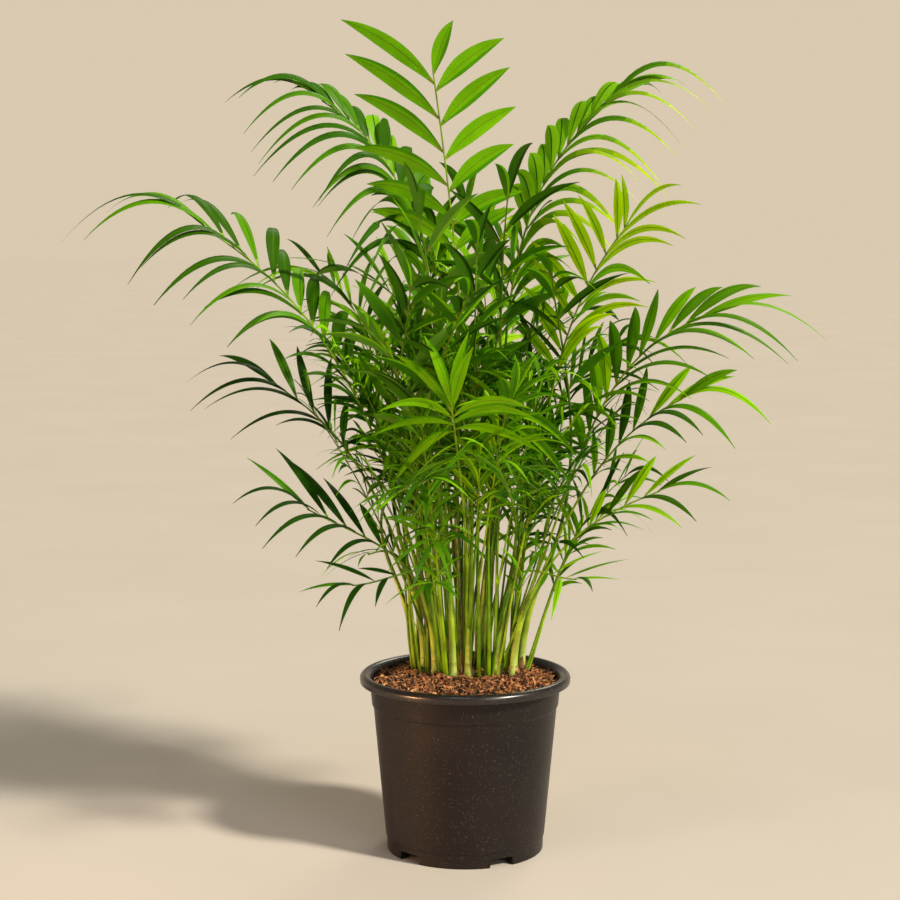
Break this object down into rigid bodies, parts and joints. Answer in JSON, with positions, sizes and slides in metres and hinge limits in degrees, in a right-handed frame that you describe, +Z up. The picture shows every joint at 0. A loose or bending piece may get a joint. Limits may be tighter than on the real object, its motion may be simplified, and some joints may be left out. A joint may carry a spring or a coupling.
{
  "type": "potted parlor palm",
  "caption": "Clump-forming feather palm with slender canes and arching pinnate fronds, growing from coir soil in a round tapered plastic nursery pot.",
  "frame": {"origin": "centre of the pot's flat underside, where the pot stands on the floor", "axes": "+Z up along the pot's axis, -Y towards the front of the plant, +X to its right"},
  "size_m": [0.708, 0.6106, 0.8141],
  "materials": {
    "pot": "dark brown-black satin polypropylene with pale dust specks",
    "soil": "rough orange-brown coir fibre and chips",
    "cane": "satin green cane with pale bloom and papery tan sheaths",
    "frond_lime": "satin young yellow-green leaf",
    "frond_yellow": "satin olive yellow leaf",
    "frond_fresh": "satin mid green leaf",
    "frond_blue": "satin bluish green leaf",
    "frond_dark": "satin deep green leaf"
  },
  "bodies": {
    "root": {"pot": "pot", "soil": "soil", "cane_1": "cane", "cane_2": "cane", "cane_3": "cane", "cane_4": "cane", "cane_5": "cane", "cane_6": "cane", "cane_7": "cane", "cane_8": "cane", "cane_9": "cane", "cane_10": "cane", "cane_11": "cane", "cane_12": "cane", "cane_13": "cane", "cane_14": "cane", "frond_left_long": "frond_fresh", "frond_left_high": "frond_blue", "frond_top_front": "frond_lime", "frond_right_high": "frond_blue", "frond_right_lime": "frond_lime", "frond_right_arching": "frond_yellow", "frond_right_low": "frond_fresh", "frond_right_lower": "frond_fresh", "frond_right_small": "frond_fresh", "frond_left_dark": "frond_dark", "frond_left_low": "frond_dark", "frond_left_small": "frond_dark", "frond_front_small": "frond_blue", "frond_front_young": "frond_lime", "frond_front_right": "frond_fresh", "frond_top_1": "frond_fresh", "frond_top_2": "frond_dark", "frond_top_3": "frond_fresh", "frond_top_4": "frond_blue", "frond_top_5": "frond_dark", "frond_top_6": "frond_fresh", "frond_top_7": "frond_dark", "frond_top_8": "frond_fresh", "frond_upper_1": "frond_blue", "frond_upper_2": "frond_dark", "frond_upper_3": "frond_fresh", "frond_upper_4": "frond_dark", "frond_upper_5": "frond_fresh", "frond_upper_6": "frond_blue", "frond_upper_7": "frond_dark", "frond_upper_8": "frond_fresh", "frond_upper_9": "frond_dark", "frond_lower_1": "frond_fresh", "frond_lower_2": "frond_blue", "frond_lower_3": "frond_dark", "frond_lower_4": "frond_fresh", "frond_lower_5": "frond_dark", "frond_lower_6": "frond_fresh", "frond_lower_7": "frond_blue", "frond_lower_8": "frond_dark", "frond_bottom_1": "frond_fresh", "frond_bottom_2": "frond_dark", "frond_bottom_3": "frond_fresh", "frond_bottom_4": "frond_blue"}
  },
  "joints": []
}
